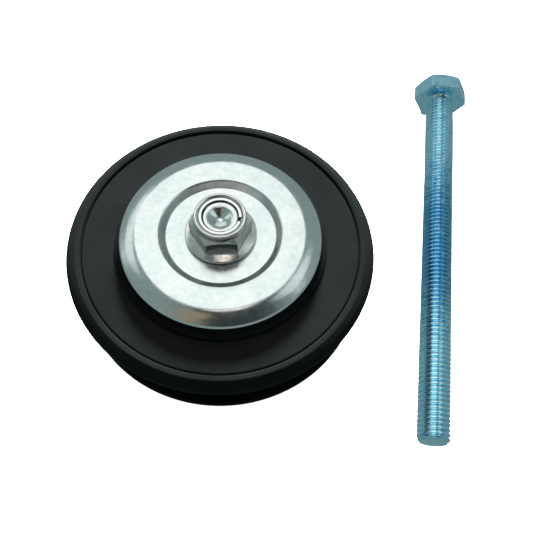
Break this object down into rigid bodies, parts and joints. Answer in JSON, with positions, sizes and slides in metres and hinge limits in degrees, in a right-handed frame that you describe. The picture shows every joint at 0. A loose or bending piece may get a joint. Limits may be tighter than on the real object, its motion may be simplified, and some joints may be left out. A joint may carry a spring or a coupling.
{
  "type": "belt tensioner idler",
  "caption": "Idler pulley with a ribbed belt channel on a sealed ball bearing, its stud, slider block, covers and locking nut, and a loose adjuster bolt that tensions the belt.",
  "frame": {"origin": "on the pulley's axis at the slider block's flat rear face, which it stands on", "axes": "+Z along the pulley's axis from the block to the nut; +Y along the bracket's slot, the way the adjuster bolt moves the block; the loose bolt lies at +X"},
  "size_m": [0.1401, 0.1362, 0.0534],
  "materials": {
    "black_paint": "smooth semi-gloss black coating",
    "bright_zinc": "bright zinc plate with faint turned marks",
    "nickel_nut": "satin warm grey plate",
    "blue_zinc": "bright blue passivated zinc",
    "bearing_steel": "ground steel",
    "spring_steel": "dark pressed steel",
    "seal_rubber": "matte"
  },
  "bodies": {
    "shaft": {"slider_block": "bright_zinc", "stud": "bright_zinc", "rear_collar": "bearing_steel", "rear_dust_shield": "black_paint", "bearing_inner_ring": "bearing_steel", "front_collar": "bearing_steel", "front_dust_shield": "black_paint", "cover_plate": "bright_zinc", "flange_nut": "nickel_nut", "nut_friction_ring": "nickel_nut"},
    "pulley": {"pulley_rim": "black_paint", "pulley_web": "black_paint", "hub_snap_ring": "spring_steel", "bearing_outer_ring": "bearing_steel", "bearing_seal_front": "seal_rubber", "bearing_seal_rear": "seal_rubber"},
    "ball_cage": {"ball_cage_front": "spring_steel", "ball_cage_rear": "spring_steel", "cage_rivet_1": "spring_steel", "cage_rivet_2": "spring_steel", "cage_rivet_3": "spring_steel", "cage_rivet_4": "spring_steel", "cage_rivet_5": "spring_steel", "cage_rivet_6": "spring_steel", "cage_rivet_7": "spring_steel", "cage_rivet_8": "spring_steel"},
    "ball_1": {"bearing_ball_1": "bearing_steel"},
    "ball_2": {"bearing_ball_2": "bearing_steel"},
    "ball_3": {"bearing_ball_3": "bearing_steel"},
    "ball_4": {"bearing_ball_4": "bearing_steel"},
    "ball_5": {"bearing_ball_5": "bearing_steel"},
    "ball_6": {"bearing_ball_6": "bearing_steel"},
    "ball_7": {"bearing_ball_7": "bearing_steel"},
    "ball_8": {"bearing_ball_8": "bearing_steel"},
    "bolt": {"adjuster_bolt": "blue_zinc"}
  },
  "joints": [
    {"name": "pulley_spin", "type": "hinge", "parent": "shaft", "child": "pulley", "pos_m": [0, 0, 0.0283], "axis": [0, 0, 1], "continuous": true},
    {"name": "cage_spin", "type": "hinge", "parent": "shaft", "child": "ball_cage", "pos_m": [0, 0, 0.0283], "axis": [0, 0, 1], "continuous": true},
    {"name": "ball_1_roll", "type": "hinge", "parent": "ball_cage", "child": "ball_1", "pos_m": [0.01425, 0, 0.0283], "axis": [0, 0, 1], "continuous": true},
    {"name": "ball_2_roll", "type": "hinge", "parent": "ball_cage", "child": "ball_2", "pos_m": [0.01008, 0.01008, 0.0283], "axis": [0, 0, 1], "continuous": true},
    {"name": "ball_3_roll", "type": "hinge", "parent": "ball_cage", "child": "ball_3", "pos_m": [0, 0.01425, 0.0283], "axis": [0, 0, 1], "continuous": true},
    {"name": "ball_4_roll", "type": "hinge", "parent": "ball_cage", "child": "ball_4", "pos_m": [-0.01008, 0.01008, 0.0283], "axis": [0, 0, 1], "continuous": true},
    {"name": "ball_5_roll", "type": "hinge", "parent": "ball_cage", "child": "ball_5", "pos_m": [-0.01425, 0, 0.0283], "axis": [0, 0, 1], "continuous": true},
    {"name": "ball_6_roll", "type": "hinge", "parent": "ball_cage", "child": "ball_6", "pos_m": [-0.01008, -0.01008, 0.0283], "axis": [0, 0, 1], "continuous": true},
    {"name": "ball_7_roll", "type": "hinge", "parent": "ball_cage", "child": "ball_7", "pos_m": [0, -0.01425, 0.0283], "axis": [0, 0, 1], "continuous": true},
    {"name": "ball_8_roll", "type": "hinge", "parent": "ball_cage", "child": "ball_8", "pos_m": [0.01008, -0.01008, 0.0283], "axis": [0, 0, 1], "continuous": true},
    {"name": "bolt_lift", "type": "slide", "parent": "shaft", "child": "bolt", "axis": [0, 0, 1], "range_m": [0, 0.12]}
  ],
  "couplings": [
    {"joint": "cage_spin", "follows": "pulley_spin", "ratio": 0.61837},
    {"joint": "ball_1_roll", "follows": "pulley_spin", "ratio": 1.9937},
    {"joint": "ball_2_roll", "follows": "pulley_spin", "ratio": 1.9937},
    {"joint": "ball_3_roll", "follows": "pulley_spin", "ratio": 1.9937},
    {"joint": "ball_4_roll", "follows": "pulley_spin", "ratio": 1.9937},
    {"joint": "ball_5_roll", "follows": "pulley_spin", "ratio": 1.9937},
    {"joint": "ball_6_roll", "follows": "pulley_spin", "ratio": 1.9937},
    {"joint": "ball_7_roll", "follows": "pulley_spin", "ratio": 1.9937},
    {"joint": "ball_8_roll", "follows": "pulley_spin", "ratio": 1.9937}
  ]
}
